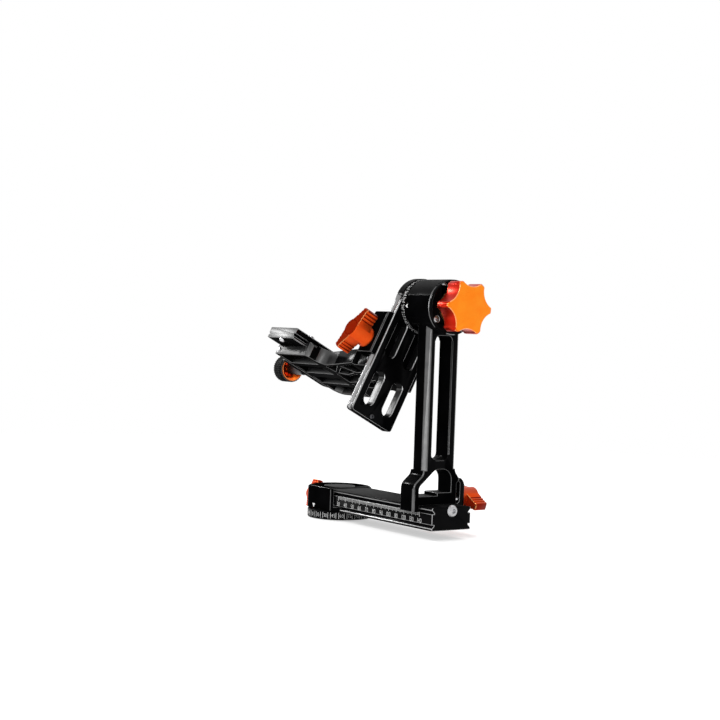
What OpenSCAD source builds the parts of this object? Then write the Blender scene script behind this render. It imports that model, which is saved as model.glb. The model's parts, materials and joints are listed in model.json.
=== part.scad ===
// Gimbal tripod head: a turning base with a side rail, an upright arm on the rail,
// a swing arm that tilts beside the upright, and an L-shaped cradle with a lens clamp.
// Millimetres. The origin is the pan axis at the underside of the base, +X runs along
// the rail to the upright, -Y is the lens's front side, +Z is up.

/* [Pan base] */
// Radius of the graduated base ring
base_r = 26.8; // [25.5:0.1:26.9]
// Height of the graduated base ring
base_h = 7; // [6:0.1:7.1]
// Radius of the turning housing above it
housing_r = 27; // [26.5:0.1:29]

/* [Rail] */
// Width of the dovetail rail and of the swing arm's clamp standard
rail_w = 38; // [37.5:0.1:38.5]
// Height of the rail section
rail_h = 17.8; // [17:0.1:18.2]
// X where the rail ends
rail_end = 151.6; // [150:0.1:156]
// Height of the rail's top face above the underside of the base
rail_top = 25.5; // [25.3:0.1:26]

/* [Upright arm] */
// X of the upright's inner face
arm_x = 118.2; // [117:0.1:119]
// Thickness of the upright along the rail
arm_t = 16.8; // [15:0.1:17]
// Width of the column across the rail
arm_w = 31.2; // [30:0.1:34]
// Width of the long slot in the column
arm_slot_w = 16.2; // [12:0.1:17]
// Height of the tilt axis above the rail
axis_rise = 154.2; // [150:0.1:160]

/* [Tilt joint] */
// Tilt of the swing arm about +X, in degrees
tilt = -27.3; // [-60:0.1:60]
// Radius of the tilt bearing drum
drum_r = 21.65; // [21:0.05:22]
// X where the drum starts, beside the graduated ring
drum_x = 111; // [110.8:0.1:111.2]
// Length of the drum
drum_len = 30.4; // [30:0.1:31]
// Tip radius of the six-lobed tilt knob
star_r = 22; // [20:0.1:24]

/* [Swing arm] */
// Thickness of the swing arm
swing_t = 8; // [8:0.1:8.2]
// Width of the swing arm
swing_w = 43; // [42.6:0.1:44]
// Length of the swing arm below the tilt axis
swing_len = 101.5; // [100:0.5:110]

/* [Cradle] */
// Depth of the lens clamp bar below the tilt axis
bar_bottom = 63.6; // [63.4:0.1:64]
// Front end of the clamp bar, ahead of the tilt axis
bar_front = 31; // [28:0.5:33]
// Rear end of the clamp bar, behind the tilt axis
bar_rear = 44; // [40:0.5:48]
// Length of the lens plate
plate_len = 90; // [80:1:100]
// Width of the lens plate's upper lip
plate_w = 40; // [39.6:0.1:40.4]

/* [Knobs] */
// Half length of the two large wing knobs, tip to axis
wing_r = 19; // [17:0.1:20]
// Height of the large wing knobs along their axis
wing_h = 17.9; // [16:0.1:19]
// Half length of the small pan lock knob
pan_wing_r = 12.2; // [10:0.1:13]
// Height of the pan lock knob along its axis
pan_wing_h = 15.5; // [14:0.1:17]
// Radius of the round lens clamp knob
grip_r = 11.3; // [10.5:0.1:12]
// Number of flutes on the round knob
flutes = 36; // [24:2:48]

/* [Hidden] */
$fn = 72;
eps = 0.01;
gap = 0.1;                            // sliding clearance between bodies
fit = 0.04;                           // radial clearance of a running fit
axis_z = rail_top + axis_rise;
swing_x = drum_x - 5 - swing_t;       // inner face of the swing arm
ring_x = drum_x - 5;                  // inner face of the graduated ring
cap_x = drum_x + drum_len;            // outer end of the drum
arm_out = arm_x + arm_t;
spindle_r = 7.5;
bearing_or = 12;                      // thin ball bearing, 15 x 24 x 5
shaft_r = 10;
tilt_bearing_or = 16;                 // ball bearing, 20 x 32 x 7
stud_r = 3;
stud_cover = 4;                       // knob left over the end of its stud
pin_r = 1.5;
thread_r = 4.76;                      // 3/8 inch tripod thread
camera_stud_r = 3.17;                 // 1/4 inch camera thread
pan_knob_z = 15.5;
housing_flat = 21;                    // pan axis to the housing's flat front
foot_knob_x = 124;
foot_knob_z = rail_top + 3.8;
foot_jaw_y = 25.8;
foot_half = 24.8;
foot_shoulder = 13.5;
cradle_knob_x = 91;
cradle_knob_z = -42.5;
cradle_face = 25.5;                   // outer face of the cradle's movable jaw
cradle_pin_z = [-24, -50.5];
clamp_x = 80;                         // inner face of the cradle's arm clamp
clamp_top = -16;
clamp_out = swing_x + 4.7;            // reach of the clamp's teeth over the arm
lens_knob_y = 6.6;
lens_knob_z = -60;
lens_stud_r = 2;
lens_knob_x = -46;                    // inner face of the round knob
lens_pin_y = [-12, 24];
lens_jaw_x = -28;                     // outer face of the lens clamp's movable jaw
plate_bottom = -55.5;
plate_top = -46;
plate_front = -45;
jaw_top = plate_bottom + 4.3;
web_top = -51.2;

// --- shared shapes -------------------------------------------------------------------

// Points on an arc in the drawing plane
function arc(cx, cy, r, a0, a1, n = 8) =
    [for (i = [0 : n]) [cx + r * cos(a0 + (a1 - a0) * i / n), cy + r * sin(a0 + (a1 - a0) * i / n)]];

// Moves children into the swing arm's own tilted frame: Y and Z turn with the arm
module tilted() {
    translate([0, 0, axis_z]) rotate([tilt, 0, 0]) children();
}

module along_x(x) { translate([x, 0, 0]) rotate([0, 90, 0]) children(); }
module along_y(y) { translate([0, y, 0]) rotate([-90, 0, 0]) children(); }

// A ring round Z with an inner and an outer radius
module ring(r_out, r_in, h) {
    difference() {
        cylinder(r = r_out, h = h);
        translate([0, 0, -1]) cylinder(r = r_in, h = h + 2);
    }
}

// Extrudes a drawing in the Y-Z plane along X
module prism_x(x0, x1) {
    translate([x0, 0, 0]) rotate([90, 0, 90]) linear_extrude(x1 - x0) children();
}

// Extrudes a drawing in the X-Z plane along Y
module prism_y(y0, y1) {
    translate([0, y1, 0]) rotate([90, 0, 0]) linear_extrude(y1 - y0) children();
}

// A slot with round ends, drawn between two heights
module slot_2d(w, z0, z1) {
    translate([-w / 2, z0 + w / 2]) square([w, z1 - z0 - w]);
    translate([0, z0 + w / 2]) circle(w / 2);
    translate([0, z1 - w / 2]) circle(w / 2);
}

// Socket button-head screw, head from z = 0 up, shank below
module button_screw(head_r, head_h, shank_r, shank_l, key_r) {
    difference() {
        rotate_extrude() polygon(concat([[0, -shank_l], [shank_r, -shank_l], [shank_r, 0], [head_r, 0]],
            [[head_r, head_h * 0.3], [head_r * 0.86, head_h * 0.72], [head_r * 0.55, head_h], [0, head_h]]));
        translate([0, 0, head_h * 0.35]) cylinder(r = key_r, h = head_h, $fn = 6);
    }
}

// Countersunk screw, flat head's top at z = 0, shank below
module flat_screw(head_r, shank_r, length, key_r) {
    difference() {
        rotate_extrude() polygon([[0, -length], [shank_r, -length], [shank_r, shank_r - head_r],
            [head_r, 0], [0, 0]]);
        translate([0, 0, -head_r * 0.5]) cylinder(r = key_r, h = head_r, $fn = 6);
    }
}

module flat_screw_hole(head_r, shank_r, length) {
    rotate_extrude() polygon([[0, -length], [shank_r, -length], [shank_r, shank_r - head_r], [head_r, 0],
        [head_r, 1], [0, 1]]);
}

// A slot with round ends through a plate from x0 to x1, its rims broken on both faces
module rimmed_slot(w, z0, z1, x0, x1, rim) {
    prism_x(x0 - 1, x1 + 1) slot_2d(w, z0, z1);
    for (side = [-1, 1]) {
        face = side < 0 ? x0 : x1;
        for (z = [z0 + w / 2, z1 - w / 2]) translate([face, 0, z]) rotate([0, side * 90, 0])
            translate([0, 0, -rim]) cylinder(r1 = w / 2, r2 = w / 2 + 2 * rim, h = 2 * rim);
        translate([0, 0, z0 + w / 2]) linear_extrude(z1 - z0 - w)
            polygon([[face - side * rim, -w / 2], [face + side * rim, -w / 2 - 2 * rim],
                [face + side * rim, w / 2 + 2 * rim], [face - side * rim, w / 2]]);
    }
}

// A window with rounded corners through a plate, its rims broken but for the top
module rimmed_window(w, z0, z1, corner, x0, x1, rim) {
    inset = w / 2 - corner;
    prism_x(x0 - 1, x1 + 1) {
        translate([-inset, z0]) square([2 * inset, z1 - z0]);
        translate([-w / 2, z0 + corner]) square([w, z1 - z0 - 2 * corner]);
        for (y = [-inset, inset]) for (z = [z0 + corner, z1 - corner]) translate([y, z]) circle(corner);
    }
    for (side = [-1, 1]) {
        face = side < 0 ? x0 : x1;
        for (y = [-inset, inset]) translate([face, y, z0 + corner]) rotate([0, side * 90, 0])
            translate([0, 0, -rim]) cylinder(r1 = corner, r2 = corner + 2 * rim, h = 2 * rim);
        prism_y(-inset, inset) polygon([[face - side * rim, z0], [face + side * rim, z0 - 2 * rim],
            [face + side * rim, z0 + corner], [face - side * rim, z0 + corner]]);
        translate([0, 0, z0 + corner]) linear_extrude(z1 - z0 - 2 * corner)
            polygon([[face - side * rim, -w / 2], [face + side * rim, -w / 2 - 2 * rim],
                [face + side * rim, w / 2 + 2 * rim], [face - side * rim, w / 2]]);
    }
}

// One blade of a wing knob along +Y, with three grooves in each flank
module wing_blade_2d(r, root, tip, groove_r) {
    difference() {
        polygon([[-root, 0], [-tip, r + 1], [tip, r + 1], [root, 0]]);
        for (side = [-1, 1]) for (i = [1 : 3]) {
            y = r - 0.3 - 2.7 * groove_r * i;
            flank = tip + (root - tip) * (r + 1 - y) / (r + 1);
            translate([side * (flank + groove_r * 0.45), y]) circle(groove_r, $fn = 24);
        }
    }
}

// Wing knob: the jaw's face is z = 0, a barrel runs right through, two blades from low to high
module wing_knob(r, hub, root, tip, groove_r, low, high) {
    difference() {
        union() {
            intersection() {
                translate([0, 0, low]) linear_extrude(high - low) {
                    wing_blade_2d(r, root, tip, groove_r);
                    mirror([0, 1]) wing_blade_2d(r, root, tip, groove_r);
                }
                rotate_extrude() polygon([[0, low - 1], [r - 1.8, low - 1], [r, low + 0.8], [r, high - 1],
                    [r - 1, high], [0, high]]);
            }
            rotate_extrude() polygon([[0, 0.4], [hub, 0.4], [hub + 0.4, 0.8], [hub + 0.4, 2.6],
                [hub, 3.2], [hub, high - 0.2], [hub - 0.5, high + 0.3], [0, high + 0.3]]);
        }
        translate([0, 0, -1]) cylinder(r = stud_r, h = high - stud_cover + 1);
        translate([0, 0, high - 0.7]) ring(hub - 1.2, hub - 2, 3);
    }
}

module large_wing_knob() { wing_knob(wing_r, 7.8, 6.6, 2.5, 0.95, 5.8, wing_h); }

// Threaded stud of a wing knob: from inside the knob down to its tip
module knob_stud(length, high) {
    difference() {
        translate([0, 0, -length]) cylinder(r = stud_r, h = length + high - stud_cover);
        translate([0, 0, -5.1]) ring(stud_r + 1, stud_r - 0.5, 0.9);
    }
}

// Retaining clip that lets the stud pull its jaw open
module stud_clip() {
    difference() {
        ring(5, stud_r - 0.5, 0.9);
        translate([0, -1.2, -1]) cube([8, 2.4, 4]);
    }
}

// --- pan base ------------------------------------------------------------------------

module pan_base() {
    color("#1b1b1d") difference() {
        rotate_extrude() polygon([[6.5, 0], [base_r - 0.8, 0], [base_r, 0.8], [base_r, base_h - 0.4],
            [base_r - 0.4, base_h], [9.4, base_h], [9.4, 8.45], [spindle_r, 8.45], [spindle_r, 22.6],
            [spindle_r - 0.5, 22.6], [spindle_r - 0.5, 23.5], [spindle_r, 23.5], [spindle_r, 23.7],
            [0, 23.7], [0, 15], [6.5, 15]]);
        for (a = [0 : 120 : 359]) rotate([0, 0, a]) translate([17.5, 0, -1]) cylinder(r = 2.1, h = 4.5);
    }
}

module thread_insert() {
    color("#c9c9cc") ring(6.5, thread_r, 12.5);
}

module pan_circlip() {
    color("#8e9094") translate([0, 0, 22.6]) difference() {
        ring(9.2, spindle_r - 0.5, 0.9);
        translate([0, -2, -1]) cube([12, 4, 4]);
    }
}

module pan_bearings() {
    color("#b8babd") for (z = [8.5, 17.5]) translate([0, 0, z]) rotate_extrude()
        polygon([[spindle_r + fit, 0], [bearing_or, 0], [bearing_or, 5], [10.8, 5], [10.8, 4.6],
            [8.9, 4.6], [8.9, 5], [spindle_r + fit, 5]]);
}

module pan_housing() {
    color("#202022") difference() {
        translate([0, 0, base_h + 0.4]) rotate_extrude() polygon([[0, 0], [housing_r - 0.5, 0],
            [housing_r, 0.5], [housing_r, 17.9], [housing_r - 1, 18.9], [0, 18.9]]);
        // flat front
        translate([-60, -60 - housing_flat, 0]) cube([120, 60, 60]);
        // bearing bores, the brake zone between them, and the cap's seat
        cylinder(r = 10.4, h = 9);
        translate([0, 0, 8.5]) cylinder(r = bearing_or, h = 5);
        cylinder(r = 8.3, h = 20);
        translate([0, 0, 17.5]) cylinder(r = bearing_or, h = 7);
        translate([0, 0, 23.9]) cylinder(r = 12.6, h = 5);
        // slot for the rail's end, above a floor
        translate([13, -rail_w / 2, 10.9]) cube([40, rail_w, 40]);
        // pan lock bore
        translate([0, 0, pan_knob_z]) along_x(-40) cylinder(r = stud_r + fit, h = 27);
        translate([0, 0, pan_knob_z]) along_x(-20) cylinder(r = 1.9, h = 14);
        for (y = [-12, 12]) translate([17, y, base_h + 0.4]) rotate([180, 0, 0]) flat_screw_hole(3.8, 2, 20);
    }
}

module pan_cap() {
    color("#202022") rotate_extrude() polygon([[10.6, 22.5], [bearing_or, 22.5], [bearing_or, 23.9],
        [12.6, 23.9], [12.6, 26], [12.3, 26.3], [0, 26.3], [0, 24.3], [10.6, 24.3]]);
}

module rail_section() {
    h = rail_w / 2;
    polygon([[-h + 0.5, 0], [-h, -0.5], [-h, -1.8], [-h + 2.2, -4], [-h + 2.2, -4.6], [-h, -4.6],
        [-h, -13.2], [-h + 2.2, -13.2], [-h + 2.2, -13.8], [-h, -16], [-h, -rail_h + 0.5], [-h + 0.5, -rail_h],
        [h - 0.5, -rail_h], [h, -rail_h + 0.5], [h, -16], [h - 2.2, -13.8], [h - 2.2, -13.2], [h, -13.2],
        [h, -4.6], [h - 2.2, -4.6], [h - 2.2, -4], [h, -1.8], [h, -0.5], [h - 0.5, 0]]);
}

module base_rail() {
    color("#1d1d1f") difference() {
        translate([0, 0, rail_top]) prism_x(13, rail_end) rail_section();
        // notch that sits on the housing's floor
        translate([0, -30, 0]) cube([housing_r + 1, 60, 10.9]);
        for (y = [-12, 12]) translate([17, y, 0]) cylinder(r = 2, h = 20);
        translate([0, 0, rail_top - 2.7]) along_x(rail_end - 14) cylinder(r = 2.5, h = 20);
    }
}

module rail_screws() {
    color("#b9bbbe") for (y = [-12, 12])
        translate([17, y, base_h + 0.4]) rotate([180, 0, 0]) flat_screw(3.8, 2, 12, 1.25);
}

module rail_stop_screw() {
    color("#c9c9cc") translate([0, 0, rail_top - 2.7]) along_x(rail_end) button_screw(4.6, 2.6, 2.5, 12, 2.1);
}

module pan_brake_pad() {
    color("#b08d4a") translate([0, 0, pan_knob_z]) along_x(-13) cylinder(r = 1.9, h = 5.4);
}

module pan_knob() {
    color("#e8641c") translate([0, 0, pan_knob_z]) along_x(-housing_r) rotate([180, 0, 0])
        rotate([0, 0, 106]) wing_knob(pan_wing_r, 6, 4.8, 2.2, 0.65, 6.5, pan_wing_h);
}

module pan_knob_stud() {
    color("#b9bbbe") translate([0, 0, pan_knob_z]) along_x(-housing_r) rotate([180, 0, 0])
        knob_stud(13.8, pan_wing_h);
}

// --- upright arm on the rail ----------------------------------------------------------

// Column section: X across the thickness, Y across the width, chamfered on all four edges
module column_section() {
    h = arm_w / 2;
    c = 3.1;
    rear = 2;
    polygon([[arm_x, -h + c], [arm_x + c, -h], [arm_out - c, -h], [arm_out, -h + c],
        [arm_out, h - rear], [arm_out - rear, h], [arm_x + rear, h], [arm_x, h - rear]]);
}

// Foot outline in the Y-Z plane: the column flares over a shoulder down to the jaws
module foot_outline() {
    h = arm_w / 2;
    polygon(concat(
        arc(-h - 6.5, 27, 6.5, 0, -45), arc(-foot_half + 8, foot_shoulder - 1, 8, 135, 180),
        [[-foot_half, -4.8], [-19 - gap, -4.8], [-19 - gap, -4.5], [-17, -4.5], [-17, -4.15],
         [-19 - gap, -2.05], [-19 - gap, gap], [17.6, gap], [17.6, 16.5], [19.4, 18.3], [19.4, 20.9]],
        arc(h + 6.5, 28, 6.5, -135, -180)));
}

// Window in the foot: an arch with a stepped sill
module foot_window() {
    polygon(concat([[-19.5, 7.2], [-1.5, 7.2], [-1.5, 9.6], [12, 9.6]],
        arc(3.2, 19, 8.8, 0, 90), arc(-0.6, 18.8, 9, 90, 140),
        arc(-12.5, 11, 7, 125, 180)));
}

// The two guide pins of the rear jaw, one low and outside, one high and inside
module foot_pin_places() {
    for (side = [-1, 1])
        translate([arm_x + arm_t / 2 + side * 5.6, 0, rail_top + (side > 0 ? 3.6 : 13)]) children();
}

module vertical_arm() {
    color("#222224") difference() {
        union() {
            // column, up into the drum
            translate([0, 0, rail_top + 26]) linear_extrude(axis_rise - 36) column_section();
            translate([0, 0, rail_top]) prism_x(arm_x, arm_out) foot_outline();
            translate([0, 0, axis_z]) along_x(drum_x + 0.2) rotate_extrude()
                polygon([[0, 0], [drum_r - 0.6, 0], [drum_r, 0.6], [drum_r, drum_len - 0.8],
                    [drum_r - 0.6, drum_len - 0.2], [0, drum_len - 0.2]]);
        }
        // long slot through the column
        rimmed_window(arm_slot_w, rail_top + 35.3, axis_z - drum_r - 0.5, 4, arm_x, arm_out, 0.9);
        translate([0, 0, rail_top]) prism_x(arm_x - 5, arm_out + 5) foot_window();
        // foot's front edge broken
        translate([arm_out, -foot_half, 0]) rotate([0, 0, 45])
            cube([1.7, 1.7, 2 * (rail_top + foot_shoulder)], center = true);
        // clamp screw thread and guide pin bores
        translate([foot_knob_x, 0, foot_knob_z]) along_y(-12) cylinder(r = stud_r + fit, h = 40);
        foot_pin_places() along_y(12.6) cylinder(r = pin_r, h = 12);
        // bearing seats and the shaft's way through
        translate([0, 0, axis_z]) {
            along_x(drum_x - 5) cylinder(r = tilt_bearing_or, h = 13.2);
            along_x(drum_x) cylinder(r = 12.5, h = drum_len + 5);
            along_x(cap_x - 8.2) cylinder(r = tilt_bearing_or, h = 20);
            for (a = [0 : 90 : 359]) rotate([a + 31, 0, 0]) translate([0, 18.6, 0])
                along_x(cap_x - 9) cylinder(r = 1.25, h = 20);
        }
    }
}

module tilt_bearings() {
    color("#b8babd") translate([0, 0, axis_z]) for (x = [drum_x + 1.2, cap_x - 8.2]) along_x(x) rotate_extrude()
        polygon([[shaft_r + fit, 0], [tilt_bearing_or, 0], [tilt_bearing_or, 7], [14.4, 7], [14.4, 6.5],
            [11.6, 6.5], [11.6, 7], [shaft_r + fit, 7]]);
}

module bearing_spacer() {
    color("#9a9ca0") translate([0, 0, axis_z]) along_x(drum_x + 8.2) ring(12.4, 10.5, drum_len - 16.4);
}

module drum_cap() {
    color("#222224") translate([0, 0, axis_z]) difference() {
        along_x(cap_x) rotate_extrude() polygon([[11.2, -1.2], [15.9, -1.2], [15.9, 0], [drum_r - 0.1, 0],
            [drum_r - 0.1, 2.8], [drum_r - 0.7, 3.4], [11.2, 3.4]]);
        for (a = [0 : 90 : 359]) rotate([a + 31, 0, 0]) translate([0, 18.6, 0]) {
            along_x(cap_x - 5) cylinder(r = 1.25, h = 20);
            along_x(cap_x + 1.6) cylinder(r = 2.6, h = 20);
        }
    }
}

module drum_cap_screws() {
    color("#c9c9cc") translate([0, 0, axis_z]) for (a = [0 : 90 : 359]) rotate([a + 31, 0, 0])
        translate([0, 18.6, 0]) along_x(cap_x + 1.6) button_screw(2.6, 1.7, 1.25, 9, 0.9);
}

module foot_pins() {
    color("#b9bbbe") foot_pin_places() along_y(12.6) cylinder(r = pin_r, h = 11);
}

module foot_jaw() {
    color("#222224") difference() {
        translate([0, 0, rail_top]) prism_x(arm_x + 0.1, arm_out - 0.1) polygon(concat(
            [[17, -4.5], [17, -4.15], [19 + gap, -2.05], [19 + gap, 0.4], [21.2, 2.2], [21.2, 16.4],
             [19.4 + gap, 18.2], [19.4 + gap, 20.8]],
            arc(foot_jaw_y - 8, foot_shoulder, 8, 58, 0),
            [[foot_jaw_y, -4.8], [19 + gap, -4.8], [19 + gap, -4.5]]));
        translate([foot_knob_x, 0, foot_knob_z]) along_y(0) cylinder(r = stud_r + 0.25, h = 40);
        translate([foot_knob_x, 0, foot_knob_z]) along_y(15) cylinder(r = 5.4, h = 6.7);
        foot_pin_places() along_y(15) cylinder(r = pin_r + 0.06, h = 8.8);
    }
}

module foot_stud() {
    color("#b9bbbe") translate([foot_knob_x, 0, foot_knob_z]) along_y(foot_jaw_y) knob_stud(34, wing_h);
}

module foot_knob() {
    color("#e8641c") translate([foot_knob_x, 0, foot_knob_z]) along_y(foot_jaw_y) rotate([0, 0, -71])
        large_wing_knob();
}

module foot_clip() {
    color("#8e9094") translate([foot_knob_x, 0, foot_knob_z]) along_y(foot_jaw_y - 5.1) stud_clip();
}

// --- swing arm and tilt axle -------------------------------------------------------------

// Swing arm's section across its width, edges broken
module swing_section() {
    h = swing_w / 2;
    x = swing_x;
    polygon([[x, -h + 0.5], [x + 0.5, -h], [x + swing_t - 0.5, -h], [x + swing_t, -h + 0.5],
        [x + swing_t, h - 0.5], [x + swing_t - 0.5, h], [x + 0.5, h], [x, h - 0.5]]);
}

// V groove in the swing arm's edges, seen along the arm
module groove_section() {
    h = swing_w / 2;
    x = swing_x;
    for (s = [-1, 1])
        polygon([[x + 0.4, s * (h + 1)], [x + 3.2, s * (h - 1.8)], [x + 4.8, s * (h - 1.8)],
            [x + 7.6, s * (h + 1)]]);
}

// Stop screw at the arm's lower end, its axis along +X from the outer face
module swing_stop_place() { translate([0, -1.3, -98.3]) along_x(ring_x) children(); }

module swing_arm() {
    color("#242426") tilted() difference() {
        union() {
            translate([0, 0, -swing_len]) linear_extrude(swing_len) swing_section();
            along_x(swing_x) rotate_extrude() polygon([[0, 0], [21.7, 0], [22.3, 0.6], [22.3, swing_t - 0.6],
                [21.7, swing_t], [0, swing_t]]);
        }
        translate([0, 0, -swing_len - 1]) linear_extrude(swing_len) groove_section();
        // four long lightening slots
        for (y = [-10, 10]) translate([0, y, 0]) {
            rimmed_slot(10, -51, -18.5, swing_x, ring_x, 0.45);
            rimmed_slot(10, -92.5, -63, swing_x, ring_x, 0.45);
        }
        // rounded lower corners
        for (s = [-1, 1]) translate([0, s * (swing_w / 2 - 3), -swing_len + 3]) mirror([0, s < 0 ? 1 : 0, 0])
            prism_x(swing_x - 5, ring_x + 5) difference() {
                translate([0, -6]) square([6, 6]);
                circle(3);
            }
        along_x(swing_x - 5) cylinder(r = 4, h = 20);
        for (a = [0 : 90 : 359]) rotate([a + 45, 0, 0]) translate([0, 7, 0])
            along_x(swing_x) rotate([180, 0, 0]) flat_screw_hole(2.9, 1.5, 20);
        swing_stop_place() translate([0, 0, -8.5]) cylinder(r = 1.25, h = 20);
        for (s = [-1, 1]) translate([swing_x + 4, 0, -97]) rotate([s * 90, 0, 0])
            translate([0, 0, 12]) cylinder(r = 0.8, h = 20);
    }
}

module index_ring() {
    color("#26262a") tilted() along_x(ring_x) rotate_extrude()
        polygon([[shaft_r + 4, 0], [drum_r, 0], [drum_r, 4.6], [drum_r - 0.3, 4.9], [shaft_r + 4, 4.9]]);
}

module tilt_shaft() {
    color("#a9abaf") tilted() difference() {
        along_x(ring_x) rotate_extrude() polygon([[0, 0], [shaft_r + 4, 0], [shaft_r + 4, 4.9],
            [shaft_r + 2, 4.9], [shaft_r + 2, 6], [shaft_r, 6], [shaft_r, drum_len + 11.4],
            [0, drum_len + 11.4]]);
        along_x(cap_x - 20) cylinder(r = 4, h = 60);
        for (a = [0 : 90 : 359]) rotate([a + 45, 0, 0]) translate([0, 7, 0])
            along_x(swing_x) cylinder(r = 1.5, h = 18);
    }
}

module swing_arm_screws() {
    color("#b9bbbe") tilted() for (a = [0 : 90 : 359]) rotate([a + 45, 0, 0]) translate([0, 7, 0])
        along_x(swing_x) rotate([180, 0, 0]) flat_screw(2.9, 1.5, 16, 1);
}

module swing_stop_screw() {
    color("#c9c9cc") tilted() swing_stop_place() button_screw(2, 1.3, 1.25, 6, 0.8);
}

module groove_stop_pins() {
    color("#3a3a3e") tilted() for (s = [-1, 1]) translate([swing_x + 4, 0, -97]) rotate([s * 90, 0, 0])
        translate([0, 0, 12]) cylinder(r = 0.8, h = swing_w / 2 - 12.6);
}

module thrust_washers() {
    color("#b08d4a") tilted() for (x = [cap_x + 3.5, cap_x + 4.4]) along_x(x) ring(14, shaft_r, 0.8);
}

// Six-lobed outline: round tips, with wide hollows that run into them
module star_2d(r) {
    tip = 2.6;
    difference() {
        circle(r - 1.5);
        for (i = [0 : 5]) rotate(60 * i) translate([r + 8.4, 0]) circle(14.1, $fn = 144);
    }
    for (i = [0 : 5]) rotate(60 * i + 30) translate([r - tip, 0]) circle(tip, $fn = 32);
}

module tilt_knob() {
    color("#e8641c") tilted() along_x(cap_x + 5.3) rotate([0, 0, 55.5 - tilt]) difference() {
        union() {
            intersection() {
                translate([0, 0, 3.6]) linear_extrude(15) star_2d(star_r);
                rotate_extrude() polygon([[0, 3.6], [star_r - 1.6, 3.6], [star_r, 5.6], [star_r, 17],
                    [star_r - 1.6, 18.6], [0, 18.6]]);
            }
            cylinder(r = 13, h = 4);
        }
        translate([0, 0, -1]) cylinder(r = shaft_r + 0.3, h = 4);
        cylinder(r = 4, h = 14);
    }
}

module tilt_knob_stud() {
    color("#b9bbbe") tilted() along_x(cap_x - 16) cylinder(r = 4 - fit, h = 16 + 5.3 + 2.4);
    color("#b9bbbe") tilted() along_x(cap_x + 7.7) cylinder(r = 4, h = 11.6);
}

// --- cradle -----------------------------------------------------------------------------

// Cradle outline seen along Z': the clamp bar, the concave fillets, and the web to the arm
module cradle_plan() {
    polygon(concat(
        [[-20.2, -bar_front], [24, -bar_front], [27, -bar_front + 3], [27, -27]],
        arc(37, -25, 10, 180, 95),
        [[50, -17.5], [66, -20.5], [clamp_x + 1, -23], [clamp_x + 1, 25], [64, 25.5]],
        arc(44, 42.5, 17, 270, 185),
        [[26, bar_rear]], arc(-10.2, bar_rear - 10, 10, 90, 180)));
}

// Underside pockets between the ribs of the web
module web_pockets() {
    polygon([[31, -11.5], [51, -14.8], [33.5, -2.4]]);
    polygon([[55, -14.6], [76.5, -18.8], [76.5, -6.4], [65, -4.6]]);
    polygon([[52, -11.2], [61, -3.8], [46, 0.8], [36.5, -1.2]]);
    polygon([[31, 1], [46, 3.6], [64, -1.6], [76.5, -3.6], [76.5, 7.6], [60, 11.4], [31, 16]]);
    polygon([[31, 18.8], [60, 14.2], [76.5, 10.2], [76.5, 22], [62, 22.8], [40, 23.2], [31, 28.4]]);
}

// Underside pockets of the clamp bar, clear of its screw and guide pins
module bar_pockets() {
    polygon([[-16.8, -28.2], [21, -28.2], [23.4, -25.8], [23.4, -14.6], [-16.8, -14.6]]);
    polygon([[-16.8, -9.4], [23.4, -9.4], [23.4, 2.6], [-16.8, 2.6]]);
    polygon([[-16.8, 10.6], [23.4, 10.6], [23.4, 21.4], [-16.8, 21.4]]);
    polygon([[-16.8, 26.6], [23.4, 26.6], [23.4, 41], [-12, 41], [-16.8, 36]]);
}

// Clamp section round the swing arm, fixed jaw at +Y'
module arm_clamp_plan() {
    h = swing_w / 2;
    x = swing_x;
    polygon([[clamp_x, -20], [x - gap, -20], [x - gap, h + gap], [x + 1.4 - gap, h + gap],
        [x + 3.1, h - 1.6], [x + 4.6, h - 1.6], [clamp_out, h], [clamp_out, h + 4], [x + 3.7, h + 5],
        [clamp_x + 2, h + 5], [clamp_x, h + 3]]);
}

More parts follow.
